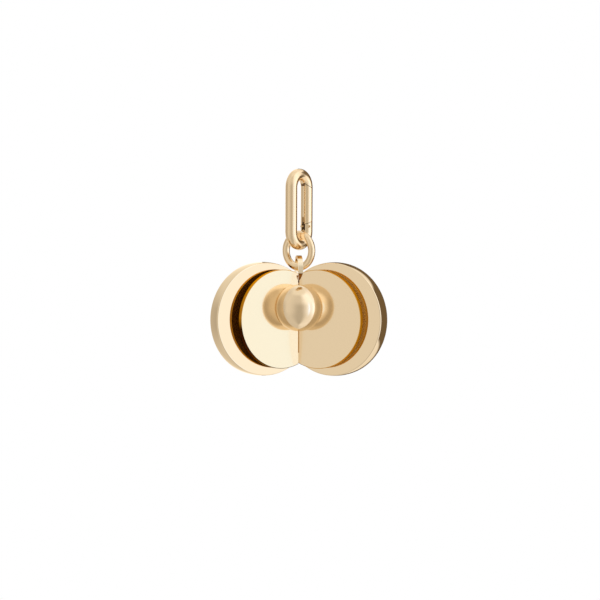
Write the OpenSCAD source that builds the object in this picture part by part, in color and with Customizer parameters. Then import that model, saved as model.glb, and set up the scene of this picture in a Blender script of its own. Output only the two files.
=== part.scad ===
// Charm pendant of polished gold-plated brass, hanging from an oval link clasp.
// Millimetres. +Z is up, -Y faces the viewer, the origin is the inside top of the clasp's bow.

/* [Clasp] */
// Height of the oval link over its wire
link_h = 16.2; // [14:0.1:20]
// Distance between the middles of the link's two legs
link_pitch = 5.2; // [4.8:0.1:7]
// Diameter of the link's wire
link_wire_d = 2.34; // [1.8:0.02:2.4]
// Turn of the link about the vertical, from the face of the charm
link_turn = 53; // [45:1:65]
// Width of the saw cuts at both ends of the gate
gate_kerf = 0.1; // [0.08:0.01:0.14]
// Diameter of the gate's hinge pin
pin_d = 0.5; // [0.4:0.05:0.6]

/* [Jump ring] */
// Mean diameter of the jump ring
ring_d = 6.55; // [6:0.05:8]
// Diameter of the jump ring's wire
ring_wire_d = 1.44; // [1.2:0.02:1.5]
// Play between the ring and the link it hangs on
ring_play = 0.1; // [0.08:0.01:0.3]
// Turn of the ring past square to the link
ring_skew = 3; // [0:1:5]

/* [Bail] */
// Width of the bail's flat band
bail_w = 0.94; // [0.8:0.02:1]
// Thickness of the bail's flat band
bail_t = 0.5; // [0.45:0.05:0.6]
// Diameter of the bail's hole
bail_hole_d = 3.95; // [3.9:0.05:4]
// Turn of the bail about the vertical, its back to the left
bail_turn = 9; // [0:1:10]
// Play between the bail and the ring it hangs on
bail_play = 1.1; // [1:0.05:1.2]
// Distance of the fold behind the line that the charm hangs on
fold_back = 1.4; // [1.2:0.05:1.6]

/* [Discs] */
// Angle by which each half is turned forward
fold = 30.5; // [28:0.5:32]
// Extra turn of the left front disc
left_lean = 2.9; // [0:0.1:4]
// Height of the middle of the bail's hole above the middle of the discs
disc_drop = 10.22; // [10:0.01:10.6]
// Radius of the front discs
front_r = 9.85; // [9.4:0.05:10.2]
// Distance of the front discs' middle from the fold
front_off = 4.25; // [3.8:0.01:4.6]
// Distance of the left front disc's middle from the fold
front_off_left = 3.78; // [3.6:0.01:4.6]
// Thickness of the front discs
front_t = 0.88; // [0.7:0.02:1]
// Gap between the front and the back discs
disc_gap = 0.77; // [0.6:0.01:1]
// Radius of the back discs' front face
back_r = 10.85; // [10.4:0.05:11.2]
// Distance of the back discs' middle from the fold
back_off = 6.46; // [6:0.01:7]
// Thickness of the back discs
back_t = 2.95; // [2.7:0.05:3.4]
// Bevel round the front discs' edges
front_bevel = 0.1; // [0.06:0.01:0.3]
// Bevel round the back discs' edges
back_bevel = 0.33; // [0.2:0.01:0.4]
// Swell of the back discs' rim
rim_swell = 0.22; // [0.1:0.01:0.5]

/* [Ball] */
// Radius of the ball
ball_r = 4.66; // [4.2:0.02:5]
// Distance of the ball's middle in front of the fold
ball_front = 2.86; // [2.6:0.02:3.2]
// Height of the ball's middle above the middle of the discs
ball_up = 2.3; // [1.8:0.1:2.8]

/* [Hidden] */
$fn = 96;
eps = 0.01;
far = 60;
gold = [0.93, 0.78, 0.52];
soft_gold = [0.87, 0.73, 0.50];
link_wire_r = link_wire_d / 2;
link_r = link_pitch / 2;
link_top = link_wire_r;
link_leg = link_h - link_wire_d - link_pitch;
link_bow_z = link_top - link_r;
link_foot_z = link_bow_z - link_leg;
link_low = link_foot_z - link_r;
// Saw cuts in the far leg: height at the leg's inner and outer side
cut_in = link_r - link_wire_r;
cut_out = link_r + link_wire_r;
top_cut = [-0.74, -2.04];
low_cut = [-8.74, -7.74];
// Hinge of the gate: ears on the link, tongue on the gate
pin_r = pin_d / 2;
pin_at = [cut_in + 0.62, -9.15];
pin_len = 2;
ear_bore_r = pin_r + 0.01;
tongue_bore_r = pin_r + 0.04;
tongue_r = 0.5;
tongue_t = 0.5;
slot_w = 0.8;
slot_r = 0.62;
slot_low = -10.2;
// Slot in the gate's inner side, for its spring
spring_w = 0.5;
spring_high = -7.3;
catch_r = 0.2;
// Heights down the chain of links
ring_r = ring_d / 2;
ring_wire_r = ring_wire_d / 2;
ring_top = link_low + link_wire_r + ring_play + ring_wire_r;
ring_z = ring_top - ring_r;
ring_low = ring_z - ring_r;
ring_turn = link_turn - 90 - ring_skew;
bail_hole_r = bail_hole_d / 2;
bail_r = bail_hole_r + bail_t;
bail_z = ring_low + ring_wire_r + bail_play - bail_hole_r;
disc_z = bail_z - disc_drop;
ball_z = disc_z + ball_up;
// The back discs lie parallel behind the front ones
back_w = front_t + disc_gap;
rim_chord = back_t / 2 - back_bevel;
rim_arc_r = (rim_chord * rim_chord + rim_swell * rim_swell) / (2 * rim_swell);
rim_bands = 12;
// Spacer soldered between the discs behind the ball
spacer_reach = 3;
spacer_h = 7;
// Foot of the bail, let into the fold above the ball
foot_w = 0.24;
foot_low = bail_z - bail_r - 0.55;
neck_top = bail_z - 0.95;
neck_low = bail_z - 2.25;
rest_z = disc_z + sqrt(front_r * front_r - pow(front_off_left - 0.6 * bail_w, 2)) + 0.04;

// Half of a round wire ring, bent about the Y axis above the given height
module bow(r, wire_r) {
    rotate([90, 0, 0])
    rotate_extrude(angle = 180)
    translate([r, 0])
    circle(r = wire_r);
}

// The whole oval link, before the gate is cut out of it
module link() {
    translate([0, 0, link_bow_z])
    bow(link_r, link_wire_r);
    translate([0, 0, link_foot_z])
    rotate([0, 180, 0])
    bow(link_r, link_wire_r);
    for (side = [-1, 1])
        translate([side * link_r, 0, link_foot_z])
        cylinder(r = link_wire_r, h = link_leg);
}

// Prism across the link with the given outline, x outwards and y upwards
module across(width) {
    rotate([90, 0, 0])
    linear_extrude(height = width, center = true)
    children();
}

// The stretch of the far leg between the two saw cuts, drawn back by a margin at both ends
module gate_zone(margin) {
    reach = 1;
    top_slope = (top_cut[1] - top_cut[0]) / (cut_out - cut_in);
    low_slope = (low_cut[1] - low_cut[0]) / (cut_out - cut_in);
    across(2 * link_wire_d)
    polygon([
        [cut_in - reach, low_cut[0] - reach * low_slope + margin],
        [cut_out + reach, low_cut[1] + reach * low_slope + margin],
        [cut_out + reach, top_cut[1] + reach * top_slope - margin],
        [cut_in - reach, top_cut[0] - reach * top_slope - margin]
    ]);
}

// A round hole or pin along the gate's hinge line
module on_hinge(r, length) {
    translate([pin_at[0], 0, pin_at[1]])
    rotate([90, 0, 0])
    cylinder(r = r, h = length, center = true);
}

// Room for the tongue, open towards the inside of the link
module hinge_slot() {
    across(slot_w)
    union() {
        translate(pin_at)
        circle(r = slot_r);
        translate([cut_in - 1, slot_low])
        square([pin_at[0] - cut_in + 1, low_cut[1] - slot_low + 1]);
        translate([pin_at[0] - eps, pin_at[1]])
        square([slot_r, low_cut[1] - pin_at[1]]);
    }
}

module turned_link() {
    rotate([0, 0, link_turn])
    children();
}

module clasp_body() {
    color(soft_gold)
    turned_link()
    difference() {
        link();
        gate_zone(0);
        hinge_slot();
        on_hinge(ear_bore_r, 2 * link_wire_d);
        translate([cut_in - 0.12, 0, top_cut[0] + 0.02])
        rotate([90, 0, 0])
        cylinder(r = catch_r, h = link_wire_r, center = true);
    }
}

module clasp_gate() {
    color(soft_gold)
    turned_link()
    difference() {
        union() {
            intersection() {
                link();
                gate_zone(gate_kerf);
            }
            on_hinge(tongue_r, tongue_t);
            across(tongue_t)
            translate([pin_at[0] - tongue_r * 0.3, pin_at[1]])
            square([tongue_r * 1.3, low_cut[1] - pin_at[1]]);
        }
        on_hinge(tongue_bore_r, 2 * link_wire_d);
        across(spring_w)
        translate([cut_in - 1, low_cut[0] - 1])
        square([pin_at[0] - tongue_r * 0.3 - cut_in + 1, spring_high - low_cut[0] + 1]);
    }
}

module gate_pin() {
    color(soft_gold)
    turned_link()
    on_hinge(pin_r, pin_len);
}

module jump_ring() {
    color(soft_gold)
    translate([0, 0, ring_z])
    rotate([90, 0, ring_turn])
    rotate_extrude()
    translate([ring_r, 0])
    circle(r = ring_wire_r);
}

// Everything of the charm is drawn with its fold at y = 0
module on_fold() {
    translate([0, fold_back, 0])
    children();
}

// The room in front of both front discs, between the given heights
module valley(low, high) {
    left = fold + left_lean;
    translate([0, 0, low])
    linear_extrude(height = high - low)
    polygon([
        [0, 0],
        [far * cos(fold), -far * sin(fold)],
        [far * cos(fold), -2 * far],
        [-far * cos(left), -2 * far],
        [-far * cos(left), -far * sin(left)]
    ]);
}

// Side view of the foot that runs back from the loop into the fold
module foot_side() {
    polygon([
        [-fold_back, bail_z - bail_r],
        [-0.25, foot_low],
        [0, foot_low],
        [0, bail_z - bail_hole_r],
        [-fold_back, bail_z - bail_hole_r]
    ]);
}

// Front view of the bail: a band that narrows to the foot
module bail_front() {
    polygon([
        [-bail_w / 2, bail_z + bail_r + 1],
        [-bail_w / 2, neck_top],
        [-foot_w / 2, neck_low],
        [-foot_w / 2, foot_low],
        [foot_w / 2, foot_low],
        [foot_w / 2, neck_low],
        [bail_w / 2, neck_top],
        [bail_w / 2, bail_z + bail_r + 1]
    ]);
}

// A round plug across the bail, turned with it
module bail_plug(r, length) {
    translate([0, 0, bail_z])
    rotate([90, 0, 90 + bail_turn])
    cylinder(r = r, h = length, center = true);
}

module bail() {
    color(gold)
    intersection() {
        difference() {
            union() {
                intersection() {
                    bail_plug(bail_r, 2 * bail_w);
                    rotate([0, 0, bail_turn])
                    across(far)
                    bail_front();
                }
                on_fold()
                intersection() {
                    rotate([90, 0, 90])
                    linear_extrude(height = 2 * bail_w, center = true)
                    foot_side();
                    across(far)
                    bail_front();
                }
            }
            bail_plug(bail_hole_r, 4 * bail_w);
        }
        on_fold()
        union() {
            valley(foot_low - 1, rest_z + eps);
            translate([-far / 2, -far / 2, rest_z])
            cube([far, far, bail_r * 3]);
        }
    }
}

module ball() {
    color(gold)
    on_fold()
    intersection() {
        translate([0, -ball_front, ball_z])
        rotate([90, 0, 0])
        sphere(r = ball_r);
        valley(ball_z - 2 * ball_r, ball_z + 2 * ball_r);
    }
}

// Stands a disc of the right half up in its plane, with its face at z = 0 towards the viewer
module in_right_plane(depth, off, angle) {
    translate([0, 0, disc_z])
    rotate([90, 0, -angle])
    translate([off, 0, -depth])
    children();
}

module keep_right() {
    intersection() {
        children();
        translate([0, -far / 2, disc_z - far / 2])
        cube([far, far, far]);
    }
}

module front_disc_blank() {
    rotate_extrude()
    polygon([
        [0, 0],
        [front_r - front_bevel, 0],
        [front_r, -front_bevel],
        [front_r, -front_t + front_bevel / 2],
        [front_r - front_bevel / 2, -front_t],
        [0, -front_t]
    ]);
}

module back_disc_blank() {
    edge_r = back_r + back_bevel;
    middle_r = edge_r + rim_swell - rim_arc_r;
    reach = asin(rim_chord / rim_arc_r);
    rotate_extrude()
    polygon(concat(
        [[0, -back_t], [0, 0], [back_r, 0]],
        [for (step = [0 : rim_bands])
            [
                middle_r + rim_arc_r * cos(reach * (1 - 2 * step / rim_bands)),
                -back_t / 2 + rim_arc_r * sin(reach * (1 - 2 * step / rim_bands))
            ]
        ],
        [[back_r, -back_t]]
    ));
}

module front_disc(off, angle) {
    color(gold)
    on_fold()
    keep_right()
    in_right_plane(0, off, angle)
    front_disc_blank();
}

module front_disc_right() {
    front_disc(front_off, fold);
}

module back_disc_right() {
    color(gold)
    on_fold()
    keep_right()
    in_right_plane(back_w, back_off, fold)
    back_disc_blank();
}

module front_disc_left() {
    mirror([1, 0, 0])
    front_disc(front_off_left, fold + left_lean);
}

module back_disc_left() {
    mirror([1, 0, 0])
    back_disc_right();
}

// Bent strip that fills the gap between the discs behind the ball
module spacer() {
    left = fold + left_lean;
    side_x = spacer_reach * cos(fold);
    side_y = spacer_reach * sin(fold);
    gap_x = disc_gap * sin(fold);
    gap_y = disc_gap * cos(fold);
    near_y = front_t / cos(fold);
    far_y = back_w / cos(fold);
    color(gold)
    on_fold()
    translate([0, 0, ball_z - spacer_h / 2])
    linear_extrude(height = spacer_h)
    polygon([
        [0, near_y],
        [side_x, near_y - side_y],
        [side_x + gap_x, near_y - side_y + gap_y],
        [0, far_y],
        [-side_x - gap_x, near_y - side_y + gap_y],
        [-spacer_reach * cos(left), front_t / cos(left) - spacer_reach * sin(left)],
        [0, front_t / cos(left)]
    ]);
}

clasp_body();
clasp_gate();
gate_pin();
jump_ring();
bail();
ball();
front_disc_left();
front_disc_right();
back_disc_left();
back_disc_right();
spacer();
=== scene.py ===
"""Looks of a gold-plated charm pendant that hangs free in a plain white studio.

Lengths are in millimetres inside the classes and turned to metres where a mesh is made.
+Z is up, the open side of the folded discs faces -Y, and the origin is the inside top of the clasp's bow.
"""

import logging
import math
from dataclasses import dataclass, field
from enum import Enum

import bpy
import numpy as np
from mathutils import Matrix, Vector

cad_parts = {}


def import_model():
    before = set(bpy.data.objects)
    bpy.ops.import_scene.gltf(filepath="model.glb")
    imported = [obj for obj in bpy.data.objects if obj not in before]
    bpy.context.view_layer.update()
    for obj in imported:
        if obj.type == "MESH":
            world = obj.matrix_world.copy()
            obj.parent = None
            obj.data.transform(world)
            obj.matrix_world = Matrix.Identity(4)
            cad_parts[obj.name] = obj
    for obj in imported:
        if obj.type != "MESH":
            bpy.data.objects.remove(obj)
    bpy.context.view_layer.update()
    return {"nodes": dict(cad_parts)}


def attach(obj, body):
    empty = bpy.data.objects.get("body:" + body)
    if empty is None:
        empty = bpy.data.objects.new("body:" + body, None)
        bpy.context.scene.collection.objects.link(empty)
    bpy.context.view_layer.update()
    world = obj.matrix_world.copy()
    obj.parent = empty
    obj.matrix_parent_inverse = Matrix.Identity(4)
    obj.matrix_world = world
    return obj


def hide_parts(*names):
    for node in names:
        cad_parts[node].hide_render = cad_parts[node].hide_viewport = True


LOG = logging.getLogger("charm_pendant")
MM = 0.001
# Sockets of a mix node that mixes colours: the share, both colours and the result
MIX_SHARE, MIX_FIRST, MIX_SECOND, MIX_RESULT = 0, 6, 7, 2
# Most of a noise node's values lie between these
NOISE_RANGE = (0.3, 0.7)
# Points on a front disc's rounded edge, on a back disc's rounded edge and on its swelled rim
FRONT_POINTS, BACK_POINTS, RIM_POINTS = 9, 11, 33
# Keeps a ray that never meets a disc from dividing by nought
TINY = 1e-9
WHITE = "#FFFFFF"


class Side(Enum):
    """The two halves of the folded charm."""

    LEFT = -1.0
    RIGHT = 1.0


def srgb(code: str) -> tuple[float, float, float, float]:
    """Turns a colour as a screen shows it into linear light.

    The curve is a straight line near black, and above it a power of 2.4 of the shifted value.

    Args:
        code: Six hex digits with a leading hash sign.

    Returns:
        Linear red, green, blue and a full alpha.
    """
    parts = np.array([int(code[i : i + 2], 16) / 255 for i in (1, 3, 5)])
    linear = np.where(parts <= 0.04045, parts / 12.92, ((parts + 0.055) / 1.055) ** 2.4)
    return (*[float(v) for v in linear], 1.0)


def add(
    tree: bpy.types.NodeTree, kind: str, values: dict | None = None, **settings: str
) -> bpy.types.Node:
    """Adds one node, sets it and wires it.

    Args:
        tree: The node tree that gets the node.
        kind: Blender's name of the node type.
        values: Socket name or number to a constant, or to the output socket that feeds it.
        settings: Properties of the node itself.

    Returns:
        The new node.
    """
    node = tree.nodes.new(kind)
    for name, value in settings.items():
        setattr(node, name, value)
    for name, value in (values or {}).items():
        if isinstance(value, bpy.types.NodeSocket):
            tree.links.new(value, node.inputs[name])
        else:
            node.inputs[name].default_value = value
    return node


def dress(nodes: dict, name: str, material: bpy.types.Material) -> None:
    """Gives a CAD node its material and reports it.

    Args:
        nodes: The frame's CAD nodes by name.
        name: Name of the node.
        material: Material of the whole node.
    """
    nodes[name].data.materials.clear()
    nodes[name].data.materials.append(material)
    LOG.info("%s is finished in %s", name, material.name)


@dataclass(frozen=True)
class SolderAndPaintedLightBox:
    """A box whose colour is painted in, such as painted shade in a hinge slot or a solder joint's own
    colour.

    Args:
        colour: Colour painted inside: solder's own colour at the seam, painted shade and painted reflections
            elsewhere.
        rough: Roughness of the metal inside.
        turn: Turn of the box about the vertical, in degrees.
        near: Lower end of the box along its own first axis.
        far: Upper end along it.
        middle: Middle of the box along its second axis.
        half: Half width along it.
        low: Height of the underside.
        high: Height of the top.
        soft: Width over which the dark fades out.
    """

    colour: str
    rough: float
    turn: float
    near: float
    far: float
    middle: float
    half: float
    low: float
    high: float
    soft: float

    def mask(self, tree: bpy.types.NodeTree, place: bpy.types.NodeSocket) -> bpy.types.NodeSocket:
        """Adds nodes that give one inside the box and fade to nought outside, with round corners.

        The distance to the box's middle less its half length, on each axis and never below nought, is the
        way from the box to the point, and its length is the distance.

        Args:
            tree: The material's node tree.
            place: Position on the object.

        Returns:
            The mask.
        """
        middle = Vector(((self.near + self.far) / 2, self.middle, (self.low + self.high) / 2)) * MM
        half = Vector(((self.far - self.near) / 2, self.half, (self.high - self.low) / 2)) * MM
        way = add(
            tree, "ShaderNodeVectorRotate",
            {"Vector": place, "Axis": (0.0, 0.0, 1.0), "Angle": -math.radians(self.turn)},
        ).outputs["Vector"]
        for operation, values in (
            ("SUBTRACT", {1: middle}), ("ABSOLUTE", {}), ("SUBTRACT", {1: half}),
            ("MAXIMUM", {1: (0.0, 0.0, 0.0)}),
        ):
            node = add(tree, "ShaderNodeVectorMath", {0: way, **values}, operation=operation)
            way = node.outputs["Vector"]
        distance = add(tree, "ShaderNodeVectorMath", {0: way}, operation="LENGTH").outputs["Value"]
        return add(
            tree, "ShaderNodeMapRange",
            {"Value": distance, "From Min": 0.0, "From Max": self.soft * MM, "To Min": 1.0, "To Max": 0.0},
        ).outputs["Result"]


@dataclass(frozen=True)
class GoldPlate:
    """Gold plating on brass, from mirror polish to soft satin.

    Args:
        name: Name of the material.
        colour: Colour that the metal gives to white light.
        edge: Colour at a grazing view.
        roughness: Mean roughness of the surface.
        uneven: How far the roughness wanders about its mean.
        grain_mm: Size of the patches in which it wanders.
        ripple: Depth of the buffing ripple, in millimetres.
        ripple_mm: Width of the buffing ripple.
        metal: Share of the surface that is bare metal, the rest being dull film.
        solder_and_painted_light: Boxes in which a colour is painted: solder's own colour, painted shade and
            painted reflections.
        mirrored: Painted colour that a mirror face beside it shows in its reflection, where that differs.
        unmirrored: Whether mirror faces show nothing of it, as they do beside the bail in the photo.
    """

    name: str
    colour: str
    edge: str
    roughness: float
    uneven: float
    grain_mm: float
    ripple: float
    ripple_mm: float
    metal: float = 1.0
    solder_and_painted_light: tuple[SolderAndPaintedLightBox, ...] = ()
    mirrored: str = ""
    unmirrored: bool = False

    def build(self) -> bpy.types.Material:
        """Makes the material.

        Returns:
            The finished node material.
        """
        material = bpy.data.materials.new(self.name)
        material.use_nodes = True
        tree = material.node_tree
        tree.nodes.clear()
        place = add(tree, "ShaderNodeTexCoord").outputs["Object"]
        # Patches of slightly duller metal, left by the buffing wheel
        patches = add(
            tree, "ShaderNodeTexNoise",
            {"Vector": place, "Scale": 1 / (self.grain_mm * MM), "Detail": 3.0, "Roughness": 0.6},
        )
        rough = add(
            tree, "ShaderNodeMapRange",
            {
                "Value": patches.outputs["Fac"], "From Min": NOISE_RANGE[0], "From Max": NOISE_RANGE[1],
                "To Min": self.roughness - self.uneven, "To Max": self.roughness + self.uneven,
            },
        )
        # The shallow waves that buffing leaves
        ripple = add(
            tree, "ShaderNodeTexNoise",
            {"Vector": place, "Scale": 1 / (self.ripple_mm * MM), "Detail": 1.0, "Roughness": 0.4},
        )
        bump = add(
            tree, "ShaderNodeBump",
            {"Height": ripple.outputs["Fac"], "Strength": 1.0, "Distance": self.ripple * MM},
        )
        colour, roughness = srgb(self.colour), rough.outputs["Result"]
        # Boxes paint in the solder's own colour, painted shade and painted reflections
        for tone_box in self.solder_and_painted_light:
            mask = tone_box.mask(tree, place)
            mixed = {MIX_SHARE: mask, MIX_FIRST: colour, MIX_SECOND: srgb(tone_box.colour)}
            colour = add(tree, "ShaderNodeMix", mixed, data_type="RGBA").outputs[MIX_RESULT]
            # A mix node's sockets 2 and 3 are its plain numbers
            roughness = add(tree, "ShaderNodeMix", {0: mask, 2: roughness, 3: tone_box.rough}).outputs[0]
        # Painted reflection: a mirror face beside it sees this colour instead
        if self.mirrored:
            seen = add(tree, "ShaderNodeLightPath").outputs["Is Glossy Ray"]
            mixed = {MIX_SHARE: seen, MIX_FIRST: colour, MIX_SECOND: srgb(self.mirrored)}
            colour = add(tree, "ShaderNodeMix", mixed, data_type="RGBA").outputs[MIX_RESULT]
        metal = add(
            tree, "ShaderNodeBsdfPrincipled",
            {
                "Base Color": colour, "Metallic": self.metal, "Specular Tint": srgb(self.edge),
                "Roughness": roughness, "Normal": bump.outputs["Normal"],
            },
        )
        surface = metal.outputs["BSDF"]
        if self.unmirrored:
            seen = add(tree, "ShaderNodeLightPath").outputs["Is Glossy Ray"]
            clear = add(tree, "ShaderNodeBsdfTransparent")
            surface = add(tree, "ShaderNodeMixShader", {0: seen, 1: surface, 2: clear.outputs[0]}).outputs[0]
        add(tree, "ShaderNodeOutputMaterial", {"Surface": surface})
        return material


# Solder along the fold, which shows below the ball
SEAM = SolderAndPaintedLightBox(
    colour="#C08E50", rough=0.1, turn=0.0, near=-0.04, far=0.12, middle=0.0, half=9.0,
    low=-34.4, high=-20.0, soft=0.06,
)
# Painted shade in the slot of the gate's hinge, its narrow upper end and the nick of its catch
HINGE_SLOT_SHADE = SolderAndPaintedLightBox(
    colour="#3A1A06", rough=0.4, turn=53.0, near=1.2, far=2.75, middle=0.0, half=0.16,
    low=-9.9, high=-8.3, soft=0.12,
)
SLIT_SHADE = SolderAndPaintedLightBox(
    colour="#6A4420", rough=0.4, turn=53.0, near=1.2, far=2.0, middle=0.05, half=0.03,
    low=-8.3, high=-7.3, soft=0.1,
)
CATCH_NICK_SHADE = SolderAndPaintedLightBox(
    colour="#5A3414", rough=0.4, turn=53.0, near=1.2, far=1.7, middle=0.1, half=0.4,
    low=-1.0, high=-0.8, soft=0.15,
)
# Painted shade on the lower part of the left disc's sawn edge
LOWER_EDGE_SHADE = SolderAndPaintedLightBox(
    colour="#3A2006", rough=0.3, turn=0.0, near=-12.0, far=0.0, middle=0.0, half=20.0,
    low=-45.0, high=-29.4, soft=2.2,
)
# Faces of the front discs: plated and buffed by hand, which gives soft-edged reflections, with the solder
# seam left visible
FACE = GoldPlate(
    name="hand_buffed_gold_plate", colour="#F8E5C6", edge="#FFF8EA", roughness=0.1, uneven=0.01,
    grain_mm=2.5, ripple=0.00006, ripple_mm=2.2, solder_and_painted_light=(SEAM,),
)
# Back discs: buffed to a mirror after plating, which gives sharp reflections
MIRROR = GoldPlate(
    name="mirror_polished_gold_plate", colour="#F8E5C6", edge="#FFF8EA", roughness=0.03, uneven=0.008,
    grain_mm=2.5, ripple=0.00006, ripple_mm=2.2,
)
# Painted reflection of the bail at the top of the ball, below the bail's foot
BALL_TOP_REFLECTION = SolderAndPaintedLightBox(
    colour="#B08844", rough=0.2, turn=0.0, near=0.0, far=0.35, middle=-3.75, half=0.25,
    low=-21.5, high=-21.3, soft=0.45,
)
# The ball: tumbled and buffed, which gives reflections a touch softer than on the flats
BALL = GoldPlate(
    name="tumble_polished_gold_ball", colour="#F5E1C2", edge="#FFF6E6", roughness=0.13, uneven=0.02,
    grain_mm=1.6, ripple=0.0001, ripple_mm=1.2, solder_and_painted_light=(BALL_TOP_REFLECTION,),
)
# Painted dark reflection at the bail's foot and painted brown reflection on its crown
BAIL_FOOT_REFLECTION = SolderAndPaintedLightBox(
    colour="#8A5820", rough=0.25, turn=0.0, near=-1.5, far=1.5, middle=0.0, half=9.0,
    low=-20.2, high=-18.5, soft=0.12,
)
BAIL_CROWN_REFLECTION = SolderAndPaintedLightBox(
    colour="#D0A058", rough=0.25, turn=0.0, near=-1.5, far=1.5, middle=0.0, half=9.0,
    low=-15.5, high=-14.5, soft=0.12,
)
# The bail: flat band, bent and buffed, which gives a smooth shine
BAND = GoldPlate(
    name="buffed_gold_plated_band", colour="#FFF2D8", edge="#FFF8EA", roughness=0.12, uneven=0.02,
    grain_mm=1.2, ripple=0.0001, ripple_mm=1.0, solder_and_painted_light=(BAIL_FOOT_REFLECTION, BAIL_CROWN_REFLECTION), unmirrored=True,
)
# Wire of the clasp and the ring: drawn, bent, plated and lightly buffed, which gives broad soft highlights
SATIN = GoldPlate(
    name="satin_gold_plated_wire", colour="#F8E2C0", edge="#FFF0DC", roughness=0.17, uneven=0.02,
    grain_mm=0.9, ripple=0.0001, ripple_mm=0.7, solder_and_painted_light=(HINGE_SLOT_SHADE, SLIT_SHADE, CATCH_NICK_SHADE),
)
# Sawn edges of the front discs: gold plate, its deep orange partly painted light bounced between the discs
# Mirror faces show a paler painted reflection of it
EDGE = GoldPlate(
    name="sawn_edge_gold_plate", colour="#D8A03C", edge="#F0C060", roughness=0.16, uneven=0.03,
    grain_mm=0.6, ripple=0.0002, ripple_mm=0.4, solder_and_painted_light=(LOWER_EDGE_SHADE,), mirrored="#C8964A",
)
# Backs of the front discs, inside the gap, where the polishing wheel can't reach, so they look dull
# The left back's dark colour is painted shade, the right back's warm colour painted light
BACKS = {
    Side.LEFT: GoldPlate(
        name="painted_shade_back_plate", colour="#64400F", edge="#8A5A20", roughness=0.5, uneven=0.05,
        grain_mm=0.9, ripple=0.0006, ripple_mm=0.5, metal=0.0,
    ),
    Side.RIGHT: GoldPlate(
        name="painted_light_back_plate", colour="#FFDC92", edge="#F2B45A", roughness=0.5, uneven=0.05,
        grain_mm=0.9, ripple=0.0006, ripple_mm=0.5, metal=0.0,
    ),
}
# The spacer: plated sheet, left dull because it stays out of sight
PLAIN = GoldPlate(
    name="plain_plated_sheet_back", colour="#C08A48", edge="#E8B878", roughness=0.32, uneven=0.05,
    grain_mm=0.9, ripple=0.0008, ripple_mm=0.5,
)


@dataclass(frozen=True)
class LightBand:
    """Light at one height of the room, which changes with the bearing.

    Args:
        stops: Bearings in degrees from the camera towards +X, each with its colour, and with its power
            where that isn't one.
    """

    stops: tuple[tuple, ...]

    def build(self, tree: bpy.types.NodeTree, place: bpy.types.NodeSocket) -> bpy.types.NodeSocket:
        """Adds this light, whose colour runs evenly from each stop to the next.

        Args:
            tree: The world's node tree.
            place: Bearing as a share of the full circle.

        Returns:
            The light's colour.
        """
        node = add(tree, "ShaderNodeValToRGB", {"Fac": place})
        marks = node.color_ramp.elements
        # New marks start in the middle and are moved below
        while len(marks) < len(self.stops):
            marks.new(0.5)
        for mark, (bearing, colour, *power) in zip(marks, self.stops):
            mark.position = (bearing + 180) / 360
            mark.color = [part * (power[0] if power else 1.0) for part in srgb(colour)]
        return node.outputs["Color"]


# The light that comes from the side, from higher up, from below and from the roof
LEVEL_LIGHT = LightBand((
    (-180, "#FFFFFF"), (-166, "#E8E2D8"), (-140, "#B8B0A4"), (-108, "#ACA498"), (-84, "#B6AFA4"),
    (-70, "#C8C1B5"), (-62, "#D2CBBF"), (-45, "#D0C9BD"), (-30, "#C8C1B5"), (-12, "#B6AFA3"),
    (0, "#B0A99D"), (12, "#B0A99D"), (22, "#BEB8AE"), (36, "#DCD8D2"), (48, "#ECF0F4"),
    (51.5, "#CBDEFE", 1.5), (55.5, "#CBDEFE", 1.5), (58, "#F0F2F4"), (60, "#EFEFEF"), (63, "#EFEFEF"),
    (67, "#EAF4FA"), (72, "#EEF6FB"), (77, "#F8F8FF", 1.25), (95, "#F4EEE6", 1.1), (130, "#D8D2CA"),
    (160, "#E0DAD2"), (180, "#FFFFFF"),
))
UPPER_LIGHT = LightBand((
    (-180, "#F0EEEA"), (-150, "#D8D2C8"), (-110, "#CCC6BC"), (-60, "#D4CDC0"), (-20, "#CAC3B7"),
    (10, "#CAC3B7"), (40, "#F8F6F2"), (70, "#FFFFFF"), (110, "#F0ECE6"), (150, "#DCD6CE"),
    (180, "#F0EEEA"),
))
LOWER_LIGHT = LightBand((
    (-180, "#C6BFB4"), (-100, "#C6BFB4"), (-50, "#C8C1B5"), (-12, "#B0A99D"), (18, "#B0A99D"),
    (45, "#DCD6CC"), (90, "#E8E2DA"), (180, "#D8D2C8"),
))
ROOF_LIGHT = "#E0DACE"


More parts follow.
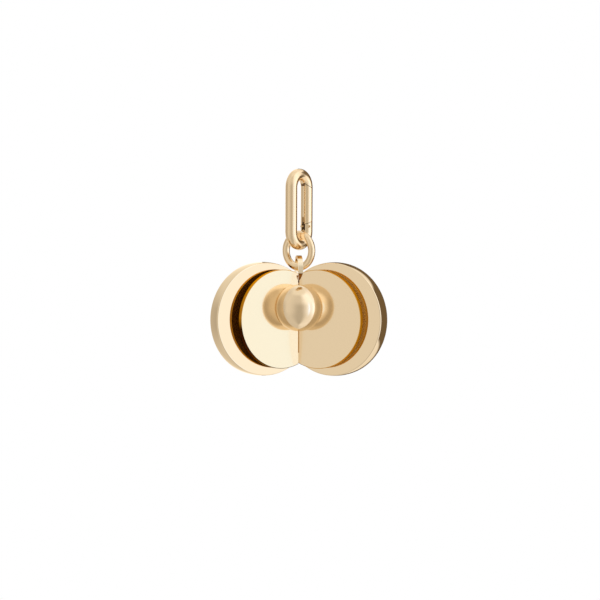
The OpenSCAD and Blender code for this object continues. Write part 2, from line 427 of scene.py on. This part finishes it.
@dataclass
class Mesh:
    """Collects corner points and faces of one piece and turns them into an object.

    Args:
        name: Name of the piece.
    """

    name: str
    points: list[np.ndarray] = field(default_factory=list)
    faces: list[list[int]] = field(default_factory=list)
    smooth: list[bool] = field(default_factory=list)
    slots: list[int] = field(default_factory=list)

    def add_points(self, points: np.ndarray) -> None:
        """Adds rows of x, y, z in millimetres."""
        self.points.append(points.reshape(-1, 3))

    def add_grid(
        self, rows: int, columns: int, wrap_rows: bool, wrap_columns: bool, bands: list[int] | None = None
    ) -> None:
        """Adds the quads between the piece's first points, which lie in a grid.

        Args:
            rows: Number of rows of points.
            columns: Number of points in a row.
            wrap_rows: Whether the last row joins the first.
            wrap_columns: Whether each row closes on itself.
            bands: Material slot of each band between two rows, where that isn't the first slot throughout.
        """
        row = np.arange(rows if wrap_rows else rows - 1)[:, None]
        column = np.arange(columns if wrap_columns else columns - 1)[None, :]
        row_next, column_next = (row + 1) % rows, (column + 1) % columns
        quads = np.stack(
            [
                row * columns + column,
                row * columns + column_next,
                row_next * columns + column_next,
                row_next * columns + column,
            ],
            axis=-1,
        ).reshape(-1, 4)
        self.faces += quads.tolist()
        self.smooth += [True] * len(quads)
        for slot in bands or [0] * row.size:
            self.slots += [slot] * column.size

    def add_flat(self, loop: list[int], slot: int = 0) -> None:
        """Adds one flat face.

        Args:
            loop: Numbers of its corners in order.
            slot: Material slot of the face.
        """
        self.faces.append(loop)
        self.smooth.append(False)
        self.slots.append(slot)

    def finish(
        self, materials: list[bpy.types.Material], body: str, node: str, slot: str
    ) -> bpy.types.Object:
        """Makes the object and lets it stand for a CAD node.

        Args:
            materials: Materials in the order of the slot numbers.
            body: CAD body that the piece rides on.
            node: CAD node that the piece replaces.
            slot: The record's material slot; not used.

        Returns:
            The new object.
        """
        data = bpy.data.meshes.new(self.name)
        data.from_pydata((np.concatenate(self.points) * MM).tolist(), [], self.faces)
        data.polygons.foreach_set("use_smooth", self.smooth)
        for material in materials:
            data.materials.append(material)
        data.polygons.foreach_set("material_index", self.slots)
        data.validate()
        data.update()
        piece = bpy.data.objects.new(self.name, data)
        bpy.context.scene.collection.objects.link(piece)
        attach(piece, body)
        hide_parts(node)
        LOG.info("%s has %d faces", self.name, len(self.faces))
        return piece


@dataclass(frozen=True)
class Fold:
    """The upright line about which both halves of the charm are turned forward.

    Args:
        angle: Turn of each half, in degrees.
        lean: Extra turn of the left front disc.
        back: Distance of the fold behind the line that the charm hangs on.
        disc_z: Height of the discs' middle.
    """

    angle: float = 30.5
    lean: float = 2.9
    back: float = 1.4
    disc_z: float = -27.625

    def place(
        self, side: Side, angle: float, along: np.ndarray, up: np.ndarray, depth: np.ndarray
    ) -> np.ndarray:
        """Moves points of a disc's own plane to where they stand, by turning them about the fold.

        Sideways a point goes the distance along times the turn's cosine, plus the depth times its sine.
        Backwards it goes the depth times the cosine, less the distance along times the sine.

        Args:
            side: The half that the disc belongs to.
            angle: Turn of the disc, in degrees.
            along: Distance from the fold, outwards in the plane.
            up: Height above the discs' middle.
            depth: Distance behind the front discs' face.

        Returns:
            The points, with x, y, z on a new last axis.
        """
        turn = math.radians(angle)
        x = side.value * (along * math.cos(turn) + depth * math.sin(turn))
        y = self.back - along * math.sin(turn) + depth * math.cos(turn)
        return np.stack(np.broadcast_arrays(x, y, self.disc_z + up), axis=-1)


@dataclass(frozen=True)
class FoldedDisc:
    """One disc of the charm, cut where it meets its twin at the fold.

    Args:
        name: Name of the piece.
        node: CAD node that it stands for.
        side: The half that it belongs to.
        angle: Turn of the disc, in degrees.
        off: Distance of its middle from the fold.
        depth: Distance of its face behind the front discs' face.
        profile: Rows of radius and depth behind the disc's own face, from front to back.
        bands: Material slot of each band between two profile rows.
        arc_steps: Number of steps round the rim.
    """

    name: str
    node: str
    side: Side
    angle: float
    off: float
    depth: float
    profile: np.ndarray
    bands: list[int]
    arc_steps: int = 384

    def build(self, fold: Fold, materials: list[bpy.types.Material]) -> None:
        """Makes the disc, whose profile rows are arcs that end on the fold's plane, closed by a flat cut.

        Args:
            fold: The fold that the disc leans on.
            materials: Materials of the face, then of the further bands.
        """
        radius, depth = self.profile[:, :1], self.profile[:, 1:] + self.depth
        # The fold's plane cuts a deeper row further in, by its depth times the tangent of the disc's angle
        start = -depth * math.tan(math.radians(self.angle))
        reach = np.arccos(np.clip((start - self.off) / radius, -1, 1))
        turn = reach * np.linspace(-1, 1, self.arc_steps + 1)[None, :]
        along, up = self.off + radius * np.cos(turn), radius * np.sin(turn)
        points = fold.place(self.side, self.angle, along, up, depth)
        if self.side is Side.LEFT:
            points = points[:, ::-1]
        rows, columns = points.shape[:2]
        mesh = Mesh(self.name)
        mesh.add_points(points)
        mesh.add_grid(rows, columns, False, False, self.bands)
        mesh.add_flat(list(range(columns))[::-1])
        last = (rows - 1) * columns
        mesh.add_flat(list(range(last, last + columns)), self.bands[-1])
        ends = [row * columns for row in range(rows)]
        mesh.add_flat(ends + [e + columns - 1 for e in ends[::-1]], self.bands[-1])
        mesh.finish(materials, "charm", self.node, "polished_gold_plate")


def front_profile(radius: float, thickness: float, bevel: float) -> np.ndarray:
    """Outline of a thin disc with a rounded front edge.

    Args:
        radius: Outer radius.
        thickness: Thickness of the disc.
        bevel: Radius of the front edge's rounding, which is twice that of the back edge.

    Returns:
        Rows of radius and depth, from the face to the back.
    """
    # A quarter of a circle rounds the front edge, a smaller one the back edge
    turn = np.linspace(0, math.pi / 2, FRONT_POINTS)
    front = np.stack([radius - bevel * (1 - np.sin(turn)), bevel * (1 - np.cos(turn))], axis=1)
    small = bevel / 2
    back = np.stack([radius - small * (1 - np.cos(turn)), thickness - small * (1 - np.sin(turn))], axis=1)
    return np.concatenate([front, back])


def back_profile(radius: float, thickness: float, bevel: float, swell: float) -> np.ndarray:
    """Outline of a thick disc with a swelled rim.

    Args:
        radius: Radius of the flat face.
        thickness: Thickness of the disc.
        bevel: Radius of the rounding of both edges.
        swell: Height of the rim's arc over its chord.

    Returns:
        Rows of radius and depth, from the face to the back.
    """
    edge = radius + bevel
    half = thickness / 2 - bevel
    # The rim's arc has a radius of half the chord squared plus the swell squared, over twice the swell
    arc_r = (half * half + swell * swell) / (2 * swell)
    reach = math.asin(half / arc_r)
    turn = np.linspace(-reach, reach, RIM_POINTS)
    rim = np.stack([edge + swell - arc_r * (1 - np.cos(turn)), thickness / 2 + arc_r * np.sin(turn)], axis=1)
    # A quarter of a circle rounds each edge, from the flat to the rim, whose own end is its last point
    round_ = np.linspace(0, math.pi / 2, BACK_POINTS)[:-1]
    front = np.stack([radius + bevel * np.sin(round_), bevel * (1 - np.cos(round_))], axis=1)
    back = np.stack([front[::-1, 0], thickness - front[::-1, 1]], axis=1)
    return np.concatenate([front, rim, back])


@dataclass(frozen=True)
class Charm:
    """The folded discs with the ball and the bail.

    Args:
        fold: The fold that everything leans on.
        front_r: Radius of the front discs.
        front_off: Distance of the right front disc's middle from the fold.
        front_off_left: The same of the left one, which leans further.
        front_t: Thickness of the front discs.
        front_bevel: Size of the rounding of their front edge.
        gap: Distance between a front disc and the back disc behind it.
        back_r: Radius of a back disc's flat face.
        back_off: Distance of a back disc's middle from the fold.
        back_t: Thickness of the back discs.
        back_bevel: Size of the rounding of their edges.
        swell: Height by which their rims swell between the rounded edges.
        ball_r: Radius of the ball.
        ball_front: Distance of the ball's middle in front of the fold.
        ball_up: Height of the ball's middle above the discs' middle.
    """

    fold: Fold = Fold()
    front_r: float = 9.85
    front_off: float = 4.25
    front_off_left: float = 3.78
    front_t: float = 0.88
    front_bevel: float = 0.1
    gap: float = 0.77
    back_r: float = 11.02
    back_off: float = 6.46
    back_t: float = 2.95
    back_bevel: float = 0.25
    swell: float = 0.08
    ball_r: float = 4.66
    ball_front: float = 2.86
    ball_up: float = 2.3

    def build(self, nodes: dict) -> None:
        """Makes the discs and the ball, and finishes the bail and the spacer.

        Args:
            nodes: The frame's CAD nodes by name.
        """
        face, mirror, edge, plain = (finish.build() for finish in (FACE, MIRROR, EDGE, PLAIN))
        front = front_profile(self.front_r, self.front_t, self.front_bevel)
        back = back_profile(self.back_r, self.back_t, self.back_bevel, self.swell)
        for side in Side:
            word = side.name.lower()
            left = side is Side.LEFT
            # The edge is sawn, its rounded corners too, and its last band belongs to the unpolished back
            bands = [1] * (len(front) - 2) + [2]
            FoldedDisc(
                f"polished_front_disc_{word}", f"front_disc_{word}", side,
                self.fold.angle + (self.fold.lean if left else 0.0),
                self.front_off_left if left else self.front_off, 0.0, front, bands,
            ).build(self.fold, [face, edge, BACKS[side].build()])
            FoldedDisc(
                f"polished_back_disc_{word}", f"back_disc_{word}", side, self.fold.angle, self.back_off,
                self.front_t + self.gap, back, [0] * (len(back) - 1),
            ).build(self.fold, [mirror])
        self.build_ball()
        dress(nodes, "bail", BAND.build())
        dress(nodes, "spacer", plain)

    def build_ball(self, rings: int = 192, steps: int = 256) -> None:
        """Makes the ball, whose rays from its middle stop at its skin or at a front disc, the nearer one.

        A ray meets a disc at the distance from the ball's middle to the disc's face, over the share of the
        ray that runs straight towards that face.

        Args:
            rings: Number of bands from the front pole to the back pole.
            steps: Number of steps round each ring.
        """
        tilt = np.linspace(0, math.pi, rings + 1)[1:-1, None]
        round_ = np.linspace(0, 2 * math.pi, steps, endpoint=False)[None, :]
        across, up = np.sin(tilt) * np.cos(round_), np.sin(tilt) * np.sin(round_)
        ray = np.stack(np.broadcast_arrays(across, -np.cos(tilt), up), axis=-1)
        ray = np.concatenate([ray.reshape(-1, 3), [[0, -1, 0], [0, 1, 0]]])
        turn = np.radians(self.fold.angle + np.where(ray[:, 0] < 0, self.fold.lean, 0.0))
        towards = np.maximum(np.abs(ray[:, 0]) * np.sin(turn) + ray[:, 1] * np.cos(turn), TINY)
        length = np.minimum(self.ball_r, self.ball_front * np.cos(turn) / towards)
        middle = np.array([0, self.fold.back - self.ball_front, self.fold.disc_z + self.ball_up])
        mesh = Mesh("polished_ball")
        mesh.add_points(middle + ray * length[:, None])
        mesh.add_grid(rings - 1, steps, False, True)
        # A fan of triangles closes each pole
        pole = (rings - 1) * steps
        step = np.arange(steps)
        after = (step + 1) % steps
        front = np.stack([np.full(steps, pole), after, step], axis=1)
        back = np.stack([np.full(steps, pole + 1), pole - steps + step, pole - steps + after], axis=1)
        mesh.faces += np.stack([front, back], axis=1).reshape(-1, 3).tolist()
        mesh.smooth += [True] * (2 * steps)
        mesh.slots += [0] * (2 * steps)
        mesh.finish([BALL.build()], "charm", "ball", "polished_gold_plate")


@dataclass(frozen=True)
class WireParts:
    """The clasp with its gate, and the jump ring.

    Args:
        ring_r: Mean radius of the jump ring.
        ring_wire_r: Radius of the ring's wire.
        ring_z: Height of the ring's middle.
        ring_turn: Turn of the ring about the vertical, in degrees.
    """

    ring_r: float = 3.275
    ring_wire_r: float = 0.72
    ring_z: float = -13.975
    ring_turn: float = -40.0

    def build(self, nodes: dict) -> None:
        """Finishes the clasp's CAD pieces and makes the ring.

        Args:
            nodes: The frame's CAD nodes by name.
        """
        satin = SATIN.build()
        for name in ("clasp_body", "clasp_gate", "gate_pin"):
            dress(nodes, name, satin)
        self.build_ring(satin)

    def build_ring(self, satin: bpy.types.Material, steps: int = 160, sides: int = 48) -> None:
        """Makes the ring: a small circle carried once round a large one.

        Args:
            satin: Material of the wire.
            steps: Number of steps round the ring.
            sides: Number of steps round the wire.
        """
        round_ = np.linspace(0, 2 * math.pi, steps, endpoint=False)[:, None]
        wire = np.linspace(0, 2 * math.pi, sides, endpoint=False)[None, :]
        turn = math.radians(self.ring_turn)
        reach = self.ring_r + self.ring_wire_r * np.cos(wire)
        across, up, out = np.broadcast_arrays(
            reach * np.cos(round_), reach * np.sin(round_), self.ring_wire_r * np.sin(wire)
        )
        points = np.stack(
            [
                across * math.cos(turn) - out * math.sin(turn),
                across * math.sin(turn) + out * math.cos(turn),
                self.ring_z + up,
            ],
            axis=-1,
        )
        mesh = Mesh("round_jump_ring")
        mesh.add_points(points)
        mesh.add_grid(steps, sides, True, True)
        ring = mesh.finish([satin], "ring", "jump_ring", "satin_gold_plate")
        # The discs show no picture of the ring, as in the photo, where they stay plain beside the bail
        ring.visible_glossy = False


@dataclass(frozen=True)
class DarkCorner:
    """The darker part of the room, behind on the right, which polished edges on that side show.

    Args:
        colour: Its colour.
        bearing: Bearing of its middle, in degrees from the camera towards +X.
        height: Height of its middle, as the upward share of a ray.
        turn: How far off its middle it starts to fade, and where it has faded, in degrees of bearing.
        rise: The same upwards and downwards, as shares of a ray.
    """

    colour: str = "#66563F"
    bearing: float = 146.0
    height: float = 0.06
    turn: tuple[float, float] = (37.0, 44.0)
    rise: tuple[float, float] = (0.43, 0.52)

    def build(
        self, tree: bpy.types.NodeTree, bearing: bpy.types.NodeSocket, height: bpy.types.NodeSocket,
        light: bpy.types.NodeSocket,
    ) -> bpy.types.NodeSocket:
        """Adds the nodes that darken this part of the light.

        Args:
            tree: The world's node tree.
            bearing: Bearing of a ray, in radians.
            height: Upward share of a ray.
            light: Light before this part is darkened.

        Returns:
            Light with the darker part in it.
        """
        turn = (math.radians(self.turn[0]), math.radians(self.turn[1]))
        beside = self.within(tree, bearing, math.radians(self.bearing), turn)
        flat = self.within(tree, height, self.height, self.rise)
        dark = add(tree, "ShaderNodeMath", {0: beside, 1: flat}, operation="MULTIPLY").outputs[0]
        mixed = {MIX_SHARE: dark, MIX_FIRST: light, MIX_SECOND: srgb(self.colour)}
        return add(tree, "ShaderNodeMix", mixed, data_type="RGBA").outputs[MIX_RESULT]

    @staticmethod
    def within(
        tree: bpy.types.NodeTree, value: bpy.types.NodeSocket, middle: float, ends: tuple[float, float]
    ) -> bpy.types.NodeSocket:
        """Adds nodes that give one near a value and fade to nought away from it.

        Args:
            tree: The world's node tree.
            value: What is looked at.
            middle: Value that it is compared with.
            ends: Distances at which the fade starts and ends.

        Returns:
            The share from nought to one.
        """
        apart = add(tree, "ShaderNodeMath", {0: value, 1: middle}, operation="SUBTRACT").outputs[0]
        off = add(tree, "ShaderNodeMath", {0: apart}, operation="ABSOLUTE").outputs[0]
        return add(
            tree, "ShaderNodeMapRange",
            {"Value": off, "From Min": ends[0], "From Max": ends[1], "To Min": 1.0, "To Max": 0.0},
            interpolation_type="SMOOTHSTEP",
        ).outputs["Result"]


@dataclass(frozen=True)
class PaleFloor:
    """Matt paper that lies below the picture and runs into the white ground further out.

    Args:
        height: Height of the paper.
        half: Half its width.
        grain_mm: Width of the paper's grains.
        tones: Darkest and lightest tone of its grain.
        rough: Roughness of the paper.
        white: Distances from the origin between which it runs into the white ground.
    """

    height: float = -200.0
    half: float = 450.0
    grain_mm: float = 10 / 9
    tones: tuple[float, float] = (0.86, 0.92)
    rough: float = 0.9
    white: tuple[float, float] = (240.0, 440.0)

    def build(self) -> None:
        """Makes the paper."""
        half = self.half
        corners = np.array([[-half, -half], [half, -half], [half, half], [-half, half]])
        points = np.concatenate([corners, np.full((4, 1), self.height)], axis=1) * MM
        data = bpy.data.meshes.new("pale_floor")
        data.from_pydata(points.tolist(), [], [[0, 1, 2, 3]])
        data.materials.append(self.build_paper())
        floor = bpy.data.objects.new("pale_floor", data)
        bpy.context.scene.collection.objects.link(floor)
        # The light from below stands for the floor in the polished metal, so no horizon line shows in it
        floor.visible_glossy = False

    def build_paper(self) -> bpy.types.Material:
        """Makes the paper's material.

        Returns:
            The finished node material.
        """
        material = bpy.data.materials.new("pale_matt_paper")
        material.use_nodes = True
        tree = material.node_tree
        tree.nodes.clear()
        place = add(tree, "ShaderNodeTexCoord").outputs["Object"]
        # Real paper has a grain about a tenth as wide, too fine to show
        grain = add(
            tree, "ShaderNodeTexNoise",
            {"Vector": place, "Scale": 1 / (self.grain_mm * MM), "Detail": 2.0},
        )
        shade = add(
            tree, "ShaderNodeMapRange",
            {"Value": grain.outputs["Fac"], "To Min": self.tones[0], "To Max": self.tones[1]},
        )
        matt = add(
            tree, "ShaderNodeBsdfPrincipled",
            {"Base Color": shade.outputs["Result"], "Roughness": self.rough},
        )
        # Further out the paper runs into the white ground, so no edge shows behind the pendant
        away = add(tree, "ShaderNodeVectorMath", {0: place}, operation="LENGTH").outputs["Value"]
        white = add(
            tree, "ShaderNodeMapRange",
            {"Value": away, "From Min": self.white[0] * MM, "From Max": self.white[1] * MM},
            interpolation_type="SMOOTHSTEP",
        ).outputs["Result"]
        glow = add(tree, "ShaderNodeEmission", {"Color": srgb(WHITE), "Strength": 1.0})
        paper = add(
            tree, "ShaderNodeMixShader", {0: white, 1: matt.outputs["BSDF"], 2: glow.outputs["Emission"]},
        )
        add(tree, "ShaderNodeOutputMaterial", {"Surface": paper.outputs[0]})
        return material


@dataclass(frozen=True)
class Studio:
    """White ground, soft light all round, a pale floor below the picture, and the camera.

    Args:
        distance: Distance of the camera from the fold.
        frame_w: Width of the picture at the fold.
        yaw: Turn of the camera about the vertical, in degrees.
        rise: Angle of the camera above the level, in degrees.
        roll: Turn of the camera about its own line of sight, in degrees.
        picture: Width and height of the picture in which mark is given, in points.
        mark: Where the middle of the front discs at the fold falls in that picture.
        sensor: Width of the camera's sensor.
        near: Distance from the camera at which things start to be seen.
        strength: Power of the light.
        to_upper: Upward shares of a ray between which the level light passes into the upper one.
        to_roof: The same between the upper light and the roof's.
        to_lower: The same between the level light and the lower one.
        dark: The darker part of the room.
        floor: The paper below.
    """

    distance: float = 500.0
    frame_w: float = 120.0
    yaw: float = 0.9
    rise: float = 2.17
    roll: float = -0.25
    picture: float = 600.0
    mark: tuple[float, float] = (298.46, 318.76)
    sensor: float = 36.0
    near: float = 10.0
    strength: float = 1.25
    to_upper: tuple[float, float] = (0.1, 0.6)
    to_roof: tuple[float, float] = (0.86, 0.97)
    to_lower: tuple[float, float] = (-0.15, -0.7)
    dark: DarkCorner = DarkCorner()
    floor: PaleFloor = PaleFloor()

    def build(self, fold: Fold) -> None:
        """Makes the light, the floor and the camera.

        Args:
            fold: The fold that the camera is aimed by.
        """
        self.build_light()
        self.floor.build()
        self.build_camera(fold)
        bpy.context.scene.view_settings.view_transform = "Standard"

    def axes(self) -> tuple[Vector, Vector, Vector]:
        """Works out which way the camera looks.

        Returns:
            The camera's right, its up and the way it looks.
        """
        yaw, rise, roll = (math.radians(a) for a in (self.yaw, self.rise, self.roll))
        level_right = Vector((math.cos(yaw), -math.sin(yaw), 0))
        level_ahead = Vector((math.sin(yaw), math.cos(yaw), 0))
        steep_up = math.cos(rise) * Vector((0, 0, 1)) + math.sin(rise) * level_ahead
        ahead = math.cos(rise) * level_ahead - math.sin(rise) * Vector((0, 0, 1))
        right = math.cos(roll) * level_right - math.sin(roll) * steep_up
        up = math.sin(roll) * level_right + math.cos(roll) * steep_up
        return right, up, ahead

    def build_light(self) -> None:
        """Makes the studio's soft light, given by the bearing of each ray and its height."""
        world = bpy.data.worlds.new("soft_studio_light")
        bpy.context.scene.world = world
        world.use_nodes = True
        tree = world.node_tree
        tree.nodes.clear()
        ray = add(tree, "ShaderNodeTexCoord").outputs["Generated"]
        way = add(tree, "ShaderNodeSeparateXYZ", {"Vector": ray})
        across, back, height = (way.outputs[axis] for axis in "XYZ")
        front = add(tree, "ShaderNodeMath", {0: back, 1: -1.0}, operation="MULTIPLY").outputs[0]
        bearing = add(tree, "ShaderNodeMath", {0: across, 1: front}, operation="ARCTAN2").outputs[0]
        place = add(
            tree, "ShaderNodeMapRange",
            {"Value": bearing, "From Min": -math.pi, "From Max": math.pi, "To Min": 0.0, "To Max": 1.0},
        ).outputs["Result"]
        level, upper, lower = (band.build(tree, place) for band in (LEVEL_LIGHT, UPPER_LIGHT, LOWER_LIGHT))
        roof, rise, fall = (
            add(
                tree, "ShaderNodeMapRange", {"Value": height, "From Min": ends[0], "From Max": ends[1]},
                interpolation_type="SMOOTHSTEP",
            ).outputs["Result"]
            for ends in (self.to_roof, self.to_upper, self.to_lower)
        )
        # Upwards the level light passes into the upper one and the roof's, downwards into the lower one
        mixed = {MIX_SHARE: roof, MIX_FIRST: upper, MIX_SECOND: srgb(ROOF_LIGHT)}
        above = add(tree, "ShaderNodeMix", mixed, data_type="RGBA").outputs[MIX_RESULT]
        mixed = {MIX_SHARE: rise, MIX_FIRST: level, MIX_SECOND: above}
        light = add(tree, "ShaderNodeMix", mixed, data_type="RGBA").outputs[MIX_RESULT]
        mixed = {MIX_SHARE: fall, MIX_FIRST: light, MIX_SECOND: lower}
        light = add(tree, "ShaderNodeMix", mixed, data_type="RGBA").outputs[MIX_RESULT]
        light = self.dark.build(tree, bearing, height, light)
        shine = add(tree, "ShaderNodeBackground", {"Color": light, "Strength": self.strength})
        ground = add(tree, "ShaderNodeBackground", {"Color": srgb(WHITE), "Strength": 1.0})
        seen = add(tree, "ShaderNodeLightPath")
        both = add(
            tree, "ShaderNodeMixShader",
            {0: seen.outputs["Is Camera Ray"], 1: shine.outputs[0], 2: ground.outputs[0]},
        )
        add(tree, "ShaderNodeOutputWorld", {"Surface": both.outputs[0]})

    def build_camera(self, fold: Fold) -> None:
        """Aims the camera so that the fold falls where the photo has it.

        Args:
            fold: The fold that the camera is aimed by.
        """
        right, up, ahead = self.axes()
        point, centre = self.frame_w / self.picture, self.picture / 2
        middle = Vector((0, fold.back, fold.disc_z))
        middle += right * (centre - self.mark[0]) * point + up * (self.mark[1] - centre) * point
        place = (middle - ahead * self.distance) * MM
        data = bpy.data.cameras.new("long_lens")
        data.sensor_width = self.sensor
        data.lens = self.sensor * self.distance / self.frame_w
        data.clip_start = self.near * MM
        camera = bpy.data.objects.new("long_lens", data)
        turn = Matrix((right, up, -ahead)).transposed().to_4x4()
        camera.matrix_world = Matrix.Translation(place) @ turn
        bpy.context.scene.collection.objects.link(camera)
        bpy.context.scene.camera = camera


def main() -> None:
    """Builds the pendant around the frame, then the studio."""
    logging.basicConfig(level=logging.INFO)
    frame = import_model()
    charm = Charm()
    WireParts().build(frame["nodes"])
    charm.build(frame["nodes"])
    Studio().build(charm.fold)
    bpy.context.view_layer.update()


if __name__ == "__main__":
    main()
